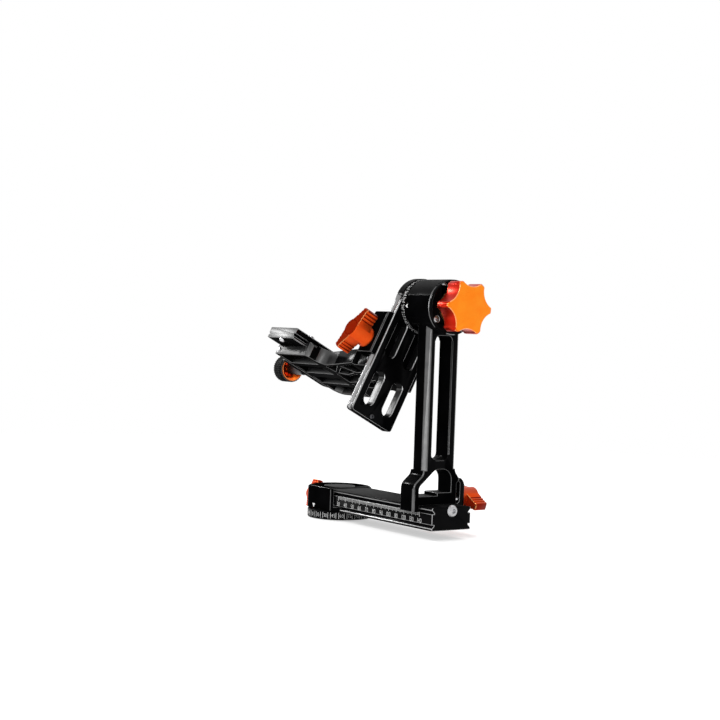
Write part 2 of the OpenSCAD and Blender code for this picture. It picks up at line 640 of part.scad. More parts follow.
module cradle_bracket() {
    color("#242426") tilted() difference() {
        union() {
            translate([0, 0, -bar_bottom]) linear_extrude(bar_bottom + plate_bottom - gap) cradle_plan();
            // web thicker than the bar's floor, up to its top face
            translate([0, 0, -bar_bottom + 1]) linear_extrude(bar_bottom + web_top - 1) intersection() {
                cradle_plan();
                translate([27, -60]) square([80, 120]);
            }
            // fixed jaw over the lens plate's lower lip
            prism_y(-bar_front, bar_rear) polygon([[19.5, plate_bottom - 1], [19.5, plate_bottom + 2.1],
                [17.6, plate_bottom + 4], [17.6, jaw_top], [24, jaw_top], [27, jaw_top - 2],
                [27, plate_bottom - 1]]);
            translate([0, 0, -bar_bottom]) linear_extrude(bar_bottom + clamp_top) arm_clamp_plan();
            // gusset up the back of the arm clamp
            prism_y(-17, 22) polygon(concat([[clamp_x + 1, web_top - 1]], [[clamp_x - 11, web_top - 1]],
                arc(clamp_x - 11, web_top + 11, 11, 270, 360), [[clamp_x + 1, web_top + 11]]));
        }
        // chamfer of the jaw's front corner
        translate([27, -bar_front, -70]) rotate([0, 0, 45]) cube([4.3, 4.3, 60], center = true);
        translate([0, 0, -bar_bottom - 1]) linear_extrude(8) web_pockets();
        translate([0, 0, -bar_bottom - 1]) linear_extrude(6.2) bar_pockets();
        // lens clamp screw thread and guide pins
        translate([0, lens_knob_y, lens_knob_z]) along_x(-40) cylinder(r = lens_stud_r + fit, h = 52);
        for (y = lens_pin_y) translate([0, y, lens_knob_z + 1.8]) along_x(-30) cylinder(r = pin_r, h = 18);
        // arm clamp screw thread and guide pins
        translate([cradle_knob_x, 0, cradle_knob_z]) along_y(-40) cylinder(r = stud_r + fit, h = 51);
        for (z = cradle_pin_z) translate([cradle_knob_x - 1, 0, z]) along_y(-40) cylinder(r = pin_r, h = 34);
        // groove in the bar's top for the plate's rear stop screw
        translate([-3.2, 14, plate_bottom - 2.6]) cube([6.4, 60, 10]);
        pin_lock_place() translate([0, 0, -8]) cylinder(r = 1.2, h = 12);
        // window through the arm clamp's back
        translate([0, 0, -30]) along_x(clamp_x - 16) cylinder(r = 6, h = 41);
    }
}

// Screw in the bar's front end that locks the front guide pin
module pin_lock_place() { translate([-16.5, -bar_front, -59.6]) rotate([90, 0, 0]) children(); }
module pin_lock_screw() { color("#c9c9cc") tilted() pin_lock_place() button_screw(1.9, 1.1, 1.2, 8, 0.8); }

module cradle_pins() {
    color("#b9bbbe") tilted() for (z = cradle_pin_z)
        translate([cradle_knob_x - 1, 0, z]) along_y(-24.4) cylinder(r = pin_r, h = 18.4);
}

module cradle_jaw() {
    h = swing_w / 2;
    x = swing_x;
    color("#242426") tilted() difference() {
        translate([0, 0, -54]) linear_extrude(37) polygon([[clamp_x + 4, -20 - gap], [x - gap, -20 - gap],
            [x - gap, -h - gap], [x + 1.4 - gap, -h - gap], [x + 3.1, -h + 1.6], [x + 4.6, -h + 1.6],
            [clamp_out, -h], [clamp_out, -cradle_face + 0.8], [clamp_out - 0.8, -cradle_face],
            [clamp_x + 5.5, -cradle_face], [clamp_x + 4, -cradle_face + 1.5]]);
        // rounded upper edge
        translate([0, -cradle_face + 3.5, -20.5]) prism_x(clamp_x, clamp_out + 5) difference() {
            translate([-6, 0]) square([6, 6]);
            circle(3.5);
        }
        translate([cradle_knob_x, 0, cradle_knob_z]) along_y(-40) cylinder(r = stud_r + 0.25, h = 40);
        translate([cradle_knob_x, 0, cradle_knob_z]) along_y(-cradle_face + 4.1) cylinder(r = 5.4, h = 4);
        for (z = cradle_pin_z) translate([cradle_knob_x - 1, 0, z])
            along_y(-24.6) cylinder(r = pin_r + 0.06, h = 20);
    }
}

module cradle_screw_axis() {
    tilted() translate([cradle_knob_x, -cradle_face, cradle_knob_z]) rotate([90, 0, 0]) children();
}

module cradle_stud() { color("#b9bbbe") cradle_screw_axis() knob_stud(34, wing_h); }
module cradle_knob() { color("#e8641c") cradle_screw_axis() rotate([0, 0, -29.2]) large_wing_knob(); }
module cradle_clip() { color("#8e9094") cradle_screw_axis() translate([0, 0, -5.1]) stud_clip(); }

// --- lens clamp --------------------------------------------------------------------------

module lens_pins() {
    color("#b9bbbe") tilted() for (y = lens_pin_y)
        translate([0, y, lens_knob_z + 1.8]) along_x(-26.4) cylinder(r = pin_r, h = 14.4);
}

module lens_jaw() {
    color("#242426") tilted() difference() {
        intersection() {
            prism_y(-19.5, 32) polygon([[lens_jaw_x, -bar_bottom + 1], [lens_jaw_x + 1, -bar_bottom],
                [-20.2 - gap, -bar_bottom], [-20.2 - gap, plate_bottom], [-19.5, plate_bottom],
                [-19.5, plate_bottom + 2.1], [-17.6, plate_bottom + 4], [-17.6, jaw_top],
                [lens_jaw_x + 2, jaw_top], [lens_jaw_x, jaw_top - 2]]);
            translate([0, 0, -80]) linear_extrude(40) polygon(concat([[-10, -19.5]], [[lens_jaw_x + 4, -19.5]],
                [[lens_jaw_x, -15.5]], arc(lens_jaw_x + 8, 24, 8, 180, 90), [[-10, 32]]));
        }
        translate([0, lens_knob_y, lens_knob_z]) along_x(-40) cylinder(r = lens_stud_r + 0.25, h = 40);
        translate([0, lens_knob_y, lens_knob_z]) along_x(-21.6) cylinder(r = 2.9, h = 2);
        for (y = lens_pin_y) translate([0, y, lens_knob_z + 1.8])
            along_x(-26.6) cylinder(r = pin_r + 0.06, h = 20);
    }
}

module lens_screw_axis() { tilted() translate([0, lens_knob_y, lens_knob_z]) children(); }

module lens_stud() {
    color("#9a9ca0") lens_screw_axis() difference() {
        union() {
            along_x(lens_knob_x - 9.5) cylinder(r = lens_stud_r, h = 64.5);
            // collar that bears on the jaw
            along_x(lens_knob_x - 2) cylinder(r = 4.4, h = lens_jaw_x - lens_knob_x + 1.9);
        }
        along_x(-21.5) ring(lens_stud_r + 1, lens_stud_r - 0.4, 0.9);
    }
}

module lens_knob_grip() {
    color("#1b1b1d") lens_screw_axis() along_x(lens_knob_x - 13.5) difference() {
        linear_extrude(12.5) difference() {
            circle(grip_r);
            for (i = [0 : flutes - 1]) rotate(360 / flutes * i)
                translate([grip_r + 0.2, 0]) circle(0.6, $fn = 16);
        }
        translate([0, 0, 5.5]) cylinder(r = 10.2, h = 20);
        translate([0, 0, 4]) cylinder(r = lens_stud_r, h = 20);
    }
}

module lens_knob_dish() {
    color("#e8641c") lens_screw_axis() along_x(lens_knob_x - 8) difference() {
        rotate_extrude() polygon([[0, 0], [10.2, 0], [10.2, 8], [9.6, 8], [4, 3.4], [0, 3.4]]);
        translate([0, 0, -1]) cylinder(r = lens_stud_r, h = 20);
    }
}

module lens_clip() {
    color("#8e9094") lens_screw_axis() along_x(-21.5) difference() {
        ring(2.6, lens_stud_r - 0.4, 0.9);
        translate([0, -0.7, -1]) cube([6, 1.4, 4]);
    }
}

// --- lens plate --------------------------------------------------------------------------

module lens_plate() {
    h = plate_w / 2;
    b = plate_bottom;
    color("#242426") tilted() difference() {
        prism_y(plate_front, plate_front + plate_len) polygon([[-h + 0.5, plate_top], [-h, plate_top - 0.5],
            [-h, b + 4.5], [-17.4, b + 4.5], [-17.4, b + 4.1], [-19.4, b + 2.1], [-19.4, b + 0.5], [-18.9, b],
            [18.9, b], [19.4, b + 0.5], [19.4, b + 2.1], [17.4, b + 4.1], [17.4, b + 4.5], [h, b + 4.5],
            [h, plate_top - 0.5], [h - 0.5, plate_top]]);
        // slot for the camera screws, with a recess for their heads below
        translate([0, 0, b - 1]) linear_extrude(40) slot_xy(6.8, -28, 28);
        translate([0, 0, b - 1]) linear_extrude(6.2) slot_xy(11.4, -31, 31);
        for (y = [plate_front + 3, plate_front + plate_len - 3])
            translate([0, y, b - 1]) cylinder(r = 1.5, h = 7);
        for (x = [-13, 13]) translate([x - 3, plate_front + 4, plate_top - 1]) cube([6, plate_len - 8, 3]);
    }
}

// A slot along Y with round ends, drawn seen along Z
module slot_xy(w, y0, y1) {
    translate([-w / 2, y0 + w / 2]) square([w, y1 - y0 - w]);
    translate([0, y0 + w / 2]) circle(w / 2);
    translate([0, y1 - w / 2]) circle(w / 2);
}

module plate_pads() {
    color("#151515") tilted() for (x = [-13, 13])
        translate([x - 3, plate_front + 4, plate_top - 1]) cube([6, plate_len - 8, 1.3]);
}

module camera_screws() {
    color("#c9c9cc") tilted() for (y = [-18, 18]) translate([0, y, plate_bottom + 5.2]) difference() {
        union() {
            translate([0, 0, -4.4]) cylinder(r = 5.4, h = 4.4);
            cylinder(r = 2.5, h = 6);
            translate([0, 0, 4.6]) cylinder(r = camera_stud_r, h = 5.6);
        }
        translate([0, 0, -6]) cylinder(r = 2.3, h = 4, $fn = 6);
    }
}

module plate_stop_screws() {
    color("#c9c9cc") tilted() for (y = [plate_front + 3, plate_front + plate_len - 3])
        translate([0, y, plate_bottom]) rotate([180, 0, 0]) button_screw(2.6, 2, 1.5, 5.5, 0.9);
}

pan_base();
thread_insert();
pan_circlip();
pan_housing();
pan_bearings();
pan_cap();
base_rail();
rail_screws();
rail_stop_screw();
pan_brake_pad();
pan_knob();
pan_knob_stud();
vertical_arm();
tilt_bearings();
bearing_spacer();
drum_cap();
drum_cap_screws();
foot_pins();
foot_jaw();
foot_stud();
foot_knob();
foot_clip();
swing_arm();
index_ring();
tilt_shaft();
swing_arm_screws();
swing_stop_screw();
groove_stop_pins();
thrust_washers();
tilt_knob();
tilt_knob_stud();
cradle_bracket();
pin_lock_screw();
cradle_pins();
cradle_jaw();
cradle_stud();
cradle_knob();
cradle_clip();
lens_pins();
lens_jaw();
lens_stud();
lens_knob_grip();
lens_knob_dish();
lens_clip();
lens_plate();
plate_pads();
camera_screws();
plate_stop_screws();
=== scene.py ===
import json
import math

import bmesh
import bpy
from mathutils import Matrix, Vector


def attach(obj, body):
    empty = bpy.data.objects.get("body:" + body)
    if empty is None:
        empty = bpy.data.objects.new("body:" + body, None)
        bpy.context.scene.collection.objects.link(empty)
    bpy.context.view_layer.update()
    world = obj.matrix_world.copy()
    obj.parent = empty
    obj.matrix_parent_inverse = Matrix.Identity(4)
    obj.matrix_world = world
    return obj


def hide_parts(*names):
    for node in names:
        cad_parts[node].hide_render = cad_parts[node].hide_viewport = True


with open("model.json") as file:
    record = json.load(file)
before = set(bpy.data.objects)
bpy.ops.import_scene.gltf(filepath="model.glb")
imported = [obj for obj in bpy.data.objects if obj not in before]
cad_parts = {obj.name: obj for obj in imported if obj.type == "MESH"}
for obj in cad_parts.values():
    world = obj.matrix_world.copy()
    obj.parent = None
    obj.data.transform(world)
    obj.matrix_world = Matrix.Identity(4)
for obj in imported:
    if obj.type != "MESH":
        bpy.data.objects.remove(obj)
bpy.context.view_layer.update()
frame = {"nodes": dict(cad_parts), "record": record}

nodes = frame["nodes"]
record = frame["record"]
millimetre = 0.001
bodyOf = {node: body for body, members in record["behaviour"]["bodies"].items() for node in members}
slotOf = {part["node"]: part["material_slot"] for part in record["subparts"]}
print("stage: frame loaded,", len(nodes), "nodes")


class Wire:
    # one output of a shader node, or a colour or vector, with arithmetic on it
    def __init__(self, bench, socket):
        self.bench = bench
        self.socket = socket

    def __add__(self, other):
        return self.bench.maths("ADD", self, other)

    def __radd__(self, other):
        return self.bench.maths("ADD", other, self)

    def __sub__(self, other):
        return self.bench.maths("SUBTRACT", self, other)

    def __rsub__(self, other):
        return self.bench.maths("SUBTRACT", other, self)

    def __mul__(self, other):
        return self.bench.maths("MULTIPLY", self, other)

    def __rmul__(self, other):
        return self.bench.maths("MULTIPLY", other, self)

    def __truediv__(self, other):
        return self.bench.maths("DIVIDE", self, other)

    def __rtruediv__(self, other):
        return self.bench.maths("DIVIDE", other, self)

    def __pow__(self, other):
        return self.bench.maths("POWER", self, other)

    def clamped(self):
        return self.bench.add("ShaderNodeClamp", {}, {"Value": self})

    def size(self):
        return self.bench.maths("ABSOLUTE", self, 0.0)

    def between(self, low, high, start=0.0, end=1.0):
        sockets = {"Value": self, "From Min": low, "From Max": high, "To Min": start, "To Max": end}
        return self.bench.add("ShaderNodeMapRange", {"clamp": True}, sockets)

    def scaled(self, factors):
        sockets = {0: self, 1: factors}
        return self.bench.add("ShaderNodeVectorMath", {"operation": "MULTIPLY"}, sockets)

    def along(self, direction):
        settings = {"operation": "DOT_PRODUCT"}
        return self.bench.add("ShaderNodeVectorMath", settings, {0: self, 1: direction}, "Value")


class Bench:
    # the node tree of one material or of the world
    def __init__(self, owner):
        owner.use_nodes = True
        self.owner = owner
        self.tree = owner.node_tree
        self.tree.nodes.clear()

    def add(self, kind, settings=None, sockets=None, output=0):
        node = self.tree.nodes.new(kind)
        for key, value in (settings or {}).items():
            setattr(node, key, value)
        for key, value in (sockets or {}).items():
            if isinstance(value, Wire):
                self.tree.links.new(value.socket, node.inputs[key])
            else:
                node.inputs[key].default_value = value
        return Wire(self, node.outputs[output]) if len(node.outputs) else None

    def maths(self, operation, first, second):
        return self.add("ShaderNodeMath", {"operation": operation}, {0: first, 1: second})

    def mixed(self, mask, first, second):
        # Mix has one set of sockets per data type: 6 and 7 are its two colours
        paint = [(*c, 1) if isinstance(c, tuple) else c for c in (first, second)]
        settings = {"data_type": "RGBA", "clamp_factor": True}
        return self.add("ShaderNodeMix", settings, {0: mask, 6: paint[0], 7: paint[1]}, 2)

    def place(self):
        return self.add("ShaderNodeTexCoord", {}, {}, "Object")

    def facing(self):
        return self.add("ShaderNodeTexCoord", {}, {}, "Normal")

    def noise(self, where, scale, detail=2.0, roughness=0.5):
        sockets = {"Vector": where, "Scale": scale, "Detail": detail, "Roughness": roughness}
        return self.add("ShaderNodeTexNoise", {}, sockets)

    def bump(self, height, strength, distance):
        sockets = {"Height": height, "Strength": strength, "Distance": distance}
        return self.add("ShaderNodeBump", {}, sockets)

    def seenDirectly(self):
        # 1 for the rays that show a surface itself, to the camera or in metal and glass
        path = self.tree.nodes.new("ShaderNodeLightPath")
        kinds = ("Is Camera Ray", "Is Glossy Ray", "Is Transmission Ray")
        camera, glossy, through = (Wire(self, path.outputs[kind]) for kind in kinds)
        return (camera + glossy + through).clamped()

    def finish(self, sockets):
        surface = self.add("ShaderNodeBsdfPrincipled", {}, sockets)
        self.add("ShaderNodeOutputMaterial", {}, {"Surface": surface})
        return self.owner


def newBench(name):
    return Bench(bpy.data.materials.new(name))


tilt = math.radians(-27.3)                          # the swing arm's tilt in the CAD
axisHeight = 179.7                                  # tilt axis above the base, in millimetres
armAlong = (0.0, -math.sin(tilt), math.cos(tilt))   # up along the tilted arm
armAcross = (0.0, math.cos(tilt), math.sin(tilt))   # across it, towards the back


def tilted(x, y, z):
    # millimetres in the swing arm's own frame to metres in the CAD frame
    across, along = Vector(armAcross), Vector(armAlong)
    return (Vector((x, 0, axisHeight)) + across * y + along * z) * millimetre


def belowAxis(at):
    # how far down the swing arm a point lies, in millimetres
    return Vector((0, -at.y, axisHeight - at.z)).dot(Vector(armAlong))


def outward(n):
    # how far a normal points across the swing arm: 1 for its back, -1 for its front
    return n.dot(Vector(armAcross))


# in the finishes, cloud, blast, patches and the like are scales of noise
blackFinish = {"dark": (0.0011, 0.0011, 0.0012), "light": (0.003, 0.003, 0.0033), "specular": 0.025,
               "cloud": 55, "blast": 2600, "handled": 140, "cloudRoughness": 0.09,
               "handledRoughness": 0.07, "levelRoughness": 0.3, "underDullness": 0.9}


def satinBlack(name, roughness, lighter=1.0, grain=0.12, specular=blackFinish["specular"]):
    # bead-blasted and anodised aluminium, rougher where it faces straight up or down
    look = blackFinish
    bench = newBench(name)
    where = bench.place()
    cloud = bench.noise(where, look["cloud"], 3)
    blast = bench.noise(where, look["blast"], 2, 0.6)
    handled = bench.noise(where.scaled((1.0, 1.6, 0.7)), look["handled"], 4, 0.62)
    light = tuple(c * lighter for c in look["light"])
    colour = bench.mixed(cloud.between(0.3, 0.7), look["dark"], light)
    level = bench.facing().along((0.0, 0.0, 1.0)).size()
    level = level.between(0.6, 0.95, 0.0, look["levelRoughness"])
    rough = cloud * look["cloudRoughness"] + handled.between(0.35, 0.75) * look["handledRoughness"]
    rough = (rough + level + (roughness - look["cloudRoughness"])).clamped()
    glint = {"Base Color": colour, "Roughness": rough, "Metallic": 0.0,
             "Specular IOR Level": specular, "Normal": bench.bump(blast, grain, 0.00004)}
    dull = {"Base Color": colour, "Roughness": rough, "Metallic": 0.0, "Specular IOR Level": 0.0}
    # undersides get a shader without gloss, or they would mirror the white floor
    under = bench.facing().along((0.0, 0.0, -1.0)).between(0.4, 0.8, 0.0, look["underDullness"])
    shaders = [bench.add("ShaderNodeBsdfPrincipled", {}, sockets) for sockets in (glint, dull)]
    surface = bench.add("ShaderNodeMixShader", {}, {0: under, 1: shaders[0], 2: shaders[1]})
    bench.add("ShaderNodeOutputMaterial", {}, {"Surface": surface})
    return bench.owner


# the lighter chamfer colours here are partly a machined finish and partly a painted highlight
edgeFinishAndHighlight = {"colour": (0.2, 0.2, 0.203), "worn": (0.34, 0.34, 0.34), "patches": 90,
              "rough": (0.28, 0.36), "metal": 0.85}


def brokenEdge(name, brightness=1.0):
    # the chamfer along an edge, in metal lighter than the anodising: partly a machined finish,
    # partly a painted highlight
    bench = newBench(name)
    where = bench.place()
    patches = bench.noise(where, edgeFinishAndHighlight["patches"], 4, 0.6)
    dull = tuple(c * brightness for c in edgeFinishAndHighlight["colour"])
    worn = tuple(min(1.0, c * brightness) for c in edgeFinishAndHighlight["worn"])
    colour = bench.mixed(patches.between(0.3, 0.75), dull, worn)
    rough = patches.between(0.2, 0.8, *edgeFinishAndHighlight["rough"])
    return bench.finish({"Base Color": colour, "Roughness": rough, "Metallic": edgeFinishAndHighlight["metal"]})


# face and flank are lit and shaded copies of one orange, painted light and shade; rim holds the
# lighter chamfer colours, partly a painted highlight
orangeFinishAndShading = {
    "star": {"face": (1.0, 0.235, 0.012), "flank": (0.52, 0.012, 0.002), "metal": (0.8, 0.9),
             "rough": 0.3, "specular": 0.04},
    "wing": {"face": (0.26, 0.012, 0.002), "flank": (0.66, 0.06, 0.007), "metal": (0.75, 0.0),
             "rough": 0.4, "specular": 0.0, "groove": (0.2, 0.01, 0.002)},
    "dish": {"face": (1.0, 0.15, 0.012), "flank": (0.9, 0.09, 0.008), "metal": (1.0, 1.0),
             "rough": 0.16, "specular": 0.04},
    "rim": {"light": (1.0, 0.4, 0.15), "deep": (1.0, 0.3, 0.08), "patches": 160,
            "rough": (0.2, 0.32), "metal": 0.85},
    "cloud": 130, "blast": 3000, "cloudRoughness": 0.08,
}
wingGrooves = {"count": 3, "fromTip": 0.0003, "pitch": 0.002565, "panPitch": 0.001755}


def bladeGrooves(node, axis, pitch):
    # where a wing knob's grip grooves lie: its centre, the way along its blades and the first one
    points = [v.co for v in nodes[node].data.vertices]
    centre = sum(points, Vector()) / len(points)
    across = [p - centre - Vector(axis) * (p - centre).dot(Vector(axis)) for p in points]
    longest = max(across, key=lambda v: v.length)
    return {"centre": centre, "along": longest.normalized(), "pitch": pitch,
            "first": longest.length - wingGrooves["fromTip"] - pitch, "count": wingGrooves["count"]}


def orangeAnodised(name, axis, paint, grooves=None):
    # dyed aluminium; the faces across the axis and the flanks get a lighter and a darker copy of
    # the orange, painted light and shade
    bench = newBench(name)
    where = bench.place()
    turned = bench.facing().along(axis).size().between(0.55, 0.95)
    cloud = bench.noise(where, orangeFinishAndShading["cloud"], 3)
    blast = bench.noise(where, orangeFinishAndShading["blast"], 2, 0.6)
    shades = []
    for key in ("flank", "face"):
        red, green, blue = paint[key]
        warmer = (red, green * 1.2 + 0.004, blue * 1.4)
        shades.append(bench.mixed(cloud.between(0.3, 0.7), paint[key], warmer))
    # the grip grooves get a darker red in bands: painted shade in the grooves
    if grooves:
        way = grooves["along"] / grooves["pitch"]
        reach = (where.along(tuple(way)) - grooves["centre"].dot(way)).size()
        first = grooves["first"] / grooves["pitch"]
        last = first - grooves["count"] + 1
        wave = bench.maths("COSINE", (reach - first) * math.tau, 0.0).between(0.1, 0.8)
        grooveShadeMask = wave * reach.between(last - 0.6, last - 0.4)
        shades[0] = bench.mixed(grooveShadeMask, shades[0], paint["groove"])
    spread = orangeFinishAndShading["cloudRoughness"]
    return bench.finish({"Base Color": bench.mixed(turned, *shades),
                         "Roughness": (cloud * spread + (paint["rough"] - spread / 2)).clamped(),
                         "Metallic": turned.between(0.0, 1.0, *paint["metal"]),
                         "Specular IOR Level": paint["specular"],
                         "Normal": bench.bump(blast, 0.1, 0.00003)})


def orangeRim(name, share=1.0):
    # the chamfer round the orange faces, in a lighter orange, partly its own colour and partly a
    # painted highlight; share dims it
    rim = orangeFinishAndShading["rim"]
    bench = newBench(name)
    patches = bench.noise(bench.place(), rim["patches"], 3)
    light, deep = (tuple(c * share for c in rim[key]) for key in ("light", "deep"))
    colour = bench.mixed(patches.between(0.35, 0.65), light, deep)
    rough = patches.between(0.3, 0.7, *rim["rough"])
    return bench.finish({"Base Color": colour, "Roughness": rough, "Metallic": rim["metal"]})


steelFinish = {"lines": 900, "cloud": 120, "shadow": 0.78, "lineRoughness": 0.16}


def brushedSteel(name, colour, stretch, roughness=0.24):
    # turned or brushed metal: the grain is the noise squeezed along stretch
    bench = newBench(name)
    where = bench.place()
    lines = bench.noise(where.scaled(stretch), steelFinish["lines"], 3, 0.6)
    cloud = bench.noise(where, steelFinish["cloud"], 2)
    darker = tuple(c * steelFinish["shadow"] for c in colour)
    paint = bench.mixed((lines * 0.6 + cloud * 0.4).between(0.3, 0.7), darker, colour)
    rough = (lines * steelFinish["lineRoughness"] + (roughness - 0.06)).clamped()
    return bench.finish({"Base Color": paint, "Roughness": rough,
                         "Metallic": 1.0, "Normal": bench.bump(lines, 0.12, 0.00003)})


rubberFinish = {"dark": (0.011, 0.011, 0.012), "light": (0.024, 0.024, 0.025), "cloud": 200,
                "skin": 2400, "rough": (0.6, 0.78), "specular": 0.35}


def padRubber(name):
    look = rubberFinish
    bench = newBench(name)
    where = bench.place()
    cloud = bench.noise(where, look["cloud"], 4, 0.6)
    skin = bench.noise(where, look["skin"], 2)
    colour = bench.mixed(cloud.between(0.3, 0.7), look["dark"], look["light"])
    return bench.finish({"Base Color": colour, "Roughness": cloud.between(0.2, 0.8, *look["rough"]),
                         "Specular IOR Level": look["specular"],
                         "Normal": bench.bump(skin, 0.3, 0.00006)})


inkFinish = {"worn": (0.78, 0.78, 0.78), "fresh": (0.9, 0.9, 0.89), "wear": 700,
             "rough": (0.45, 0.62)}


def markInk(name):
    look = inkFinish
    bench = newBench(name)
    wear = bench.noise(bench.place(), look["wear"], 4, 0.65)
    colour = bench.mixed(wear.between(0.3, 0.62), look["worn"], look["fresh"])
    return bench.finish({"Base Color": colour, "Roughness": wear.between(0.2, 0.8, *look["rough"])})


black = satinBlack("blackAnodised", 0.19)
blackSmooth = satinBlack("blackTurned", 0.17, 1.0, 0.05)
blackMatt = satinBlack("blackBlasted", 0.34, 1.15, 0.2)
# a glossier copy of the black, for faces turned to the key lamp, is a painted highlight; a copy
# without gloss, which keeps faces and whole pieces dark, is painted shade
blackPaintedHighlight = satinBlack("blackPaintedHighlight", 0.42, 1.0, 0.05, 0.8)
blackGlosslessShade = satinBlack("blackGlosslessShade", 0.3, 1.0, 0.12, 0.0)
blackEdge = brokenEdge("machinedEdgeHighlight")
blackEdgeSoft = brokenEdge("machinedEdgeHighlightSoft", 0.4)
orangeStar = orangeAnodised("orangeStar", (1.0, 0.0, 0.0), orangeFinishAndShading["star"])
orangeX = orangeAnodised("orangeAlongX", (1.0, 0.0, 0.0), orangeFinishAndShading["wing"],
                         bladeGrooves("pan_knob", (1.0, 0.0, 0.0), wingGrooves["panPitch"]))
orangeY = orangeAnodised("orangeAlongY", (0.0, 1.0, 0.0), orangeFinishAndShading["wing"],
                         bladeGrooves("foot_knob", (0.0, 1.0, 0.0), wingGrooves["pitch"]))
orangeTilted = orangeAnodised("orangeAcrossArm", armAcross, orangeFinishAndShading["wing"],
                              bladeGrooves("cradle_knob", armAcross, wingGrooves["pitch"]))
orangeDish = orangeAnodised("orangeDish", (1.0, 0.0, 0.0), orangeFinishAndShading["dish"])
orangeEdge = orangeRim("orangeRim")
orangeEdgeSoft = orangeRim("orangeRimHighlightSoft", 0.55)
steelX = brushedSteel("steelAlongX", (0.5, 0.5, 0.51), (0.15, 1.0, 1.0))
steelZ = brushedSteel("steelAlongZ", (0.64, 0.64, 0.66), (1.0, 1.0, 0.15))
steelDark = brushedSteel("springSteel", (0.07, 0.07, 0.075), (1.0, 0.3, 1.0), 0.34)
bronze = brushedSteel("plainBronze", (0.6, 0.4, 0.2), (0.3, 1.0, 1.0), 0.32)
rubber = padRubber("padRubber")
ink = markInk("whiteInk")
print("stage: finishes made,", len(bpy.data.materials), "materials")


def addPiece(name, mesh, materials, body, replaced=()):
    piece = bpy.data.objects.new(name, mesh)
    bpy.context.scene.collection.objects.link(piece)
    mesh.materials.clear()
    for material in materials:
        mesh.materials.append(material)
    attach(piece, body)
    if replaced:
        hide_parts(*replaced)
    return piece


def shadeByAngle(mesh, degrees):
    mesh.polygons.foreach_set("use_smooth", [True] * len(mesh.polygons))
    mesh.set_sharp_from_angle(angle=math.radians(degrees))
    mesh.update()


def applied(piece):
    # bakes the piece's modifiers into its mesh
    bpy.context.view_layer.update()
    seen = piece.evaluated_get(bpy.context.evaluated_depsgraph_get())
    mesh = bpy.data.meshes.new_from_object(seen)
    piece.modifiers.clear()
    old = piece.data
    piece.data = mesh
    bpy.data.meshes.remove(old)
    return mesh


# angles in degrees; an edge is broken where its faces are roomForBevel times the bevel's width
dressing = {"sharpAngle": 28, "smoothAngle": 34, "flatAngle": 0.4, "mergeWithin": 2e-6,
            "roomForBevel": 2.3, "shortest": 1e-7}


def dress(name, part):
    # a copy of a CAD node with its sharp edges broken by a small bevel in a lighter edge metal,
    # partly a painted highlight;
    # edgeWhere and otherWhere pick more faces for that edge metal and for a third finish, by
    # default the glossier black of painted highlights, and wideEdges holds how many times wider
    # some edges are, and which
    width = part["edge"] * millimetre
    factor, isWide = part.get("wideEdges", (1.0, lambda at: False))
    edgeWhere = part.get("edgeWhere", lambda at, n: False)
    otherWhere = part.get("otherWhere", lambda at, n: False)
    source = nodes[part["node"]]
    bm = bmesh.new()
    bm.from_mesh(source.data)
    bmesh.ops.remove_doubles(bm, verts=bm.verts, dist=dressing["mergeWithin"])
    flat = math.radians(dressing["flatAngle"])
    bmesh.ops.dissolve_limit(bm, angle_limit=flat, verts=bm.verts, edges=bm.edges)
    weights = bm.edges.layers.float.new("bevel_weight_edge")
    sharp = 0
    for face in bm.faces:
        face.material_index = 0
    for edge in bm.edges:
        if len(edge.link_faces) != 2:
            continue
        if edge.calc_face_angle_signed() < math.radians(dressing["sharpAngle"]):
            continue
        length = edge.calc_length()
        middle = (edge.verts[0].co + edge.verts[1].co) / 2 / millimetre
        share = factor if isWide(middle) else 1.0
        area = min(face.calc_area() for face in edge.link_faces)
        room = area / max(length, dressing["shortest"])
        if room > dressing["roomForBevel"] * width * share:
            edge[weights] = share / factor
            sharp += 1
    mesh = bpy.data.meshes.new(name)
    bm.to_mesh(mesh)
    bm.free()
    finishes = [part["finish"], part["edgeFinishAndHighlight"], part.get("otherFinish", blackPaintedHighlight)]
    body, slotName = bodyOf[part["node"]], slotOf[part["node"]]
    piece = addPiece(name, mesh, finishes, body, (part["node"],))
    bevel = piece.modifiers.new("edges", "BEVEL")
    bevel.limit_method = "WEIGHT"
    bevel.width = width * factor
    bevel.segments = part.get("segments", 2)
    bevel.use_clamp_overlap = False
    bevel.loop_slide = True
    bevel.material = 1
    mesh = applied(piece)
    for face in mesh.polygons:
        at = face.center / millimetre
        if edgeWhere(at, face.normal):
            face.material_index = 1
        elif face.material_index == 0 and otherWhere(at, face.normal):
            face.material_index = 2
    shadeByAngle(mesh, dressing["smoothAngle"])
    print("  dressed", name, "edges", sharp, "faces", len(mesh.polygons))


# turned and milled pieces; edge is the width of the broken edges in millimetres
panBase = {"node": "pan_base", "edge": 0.25, "finish": blackSmooth, "edgeFinishAndHighlight": blackEdgeSoft}
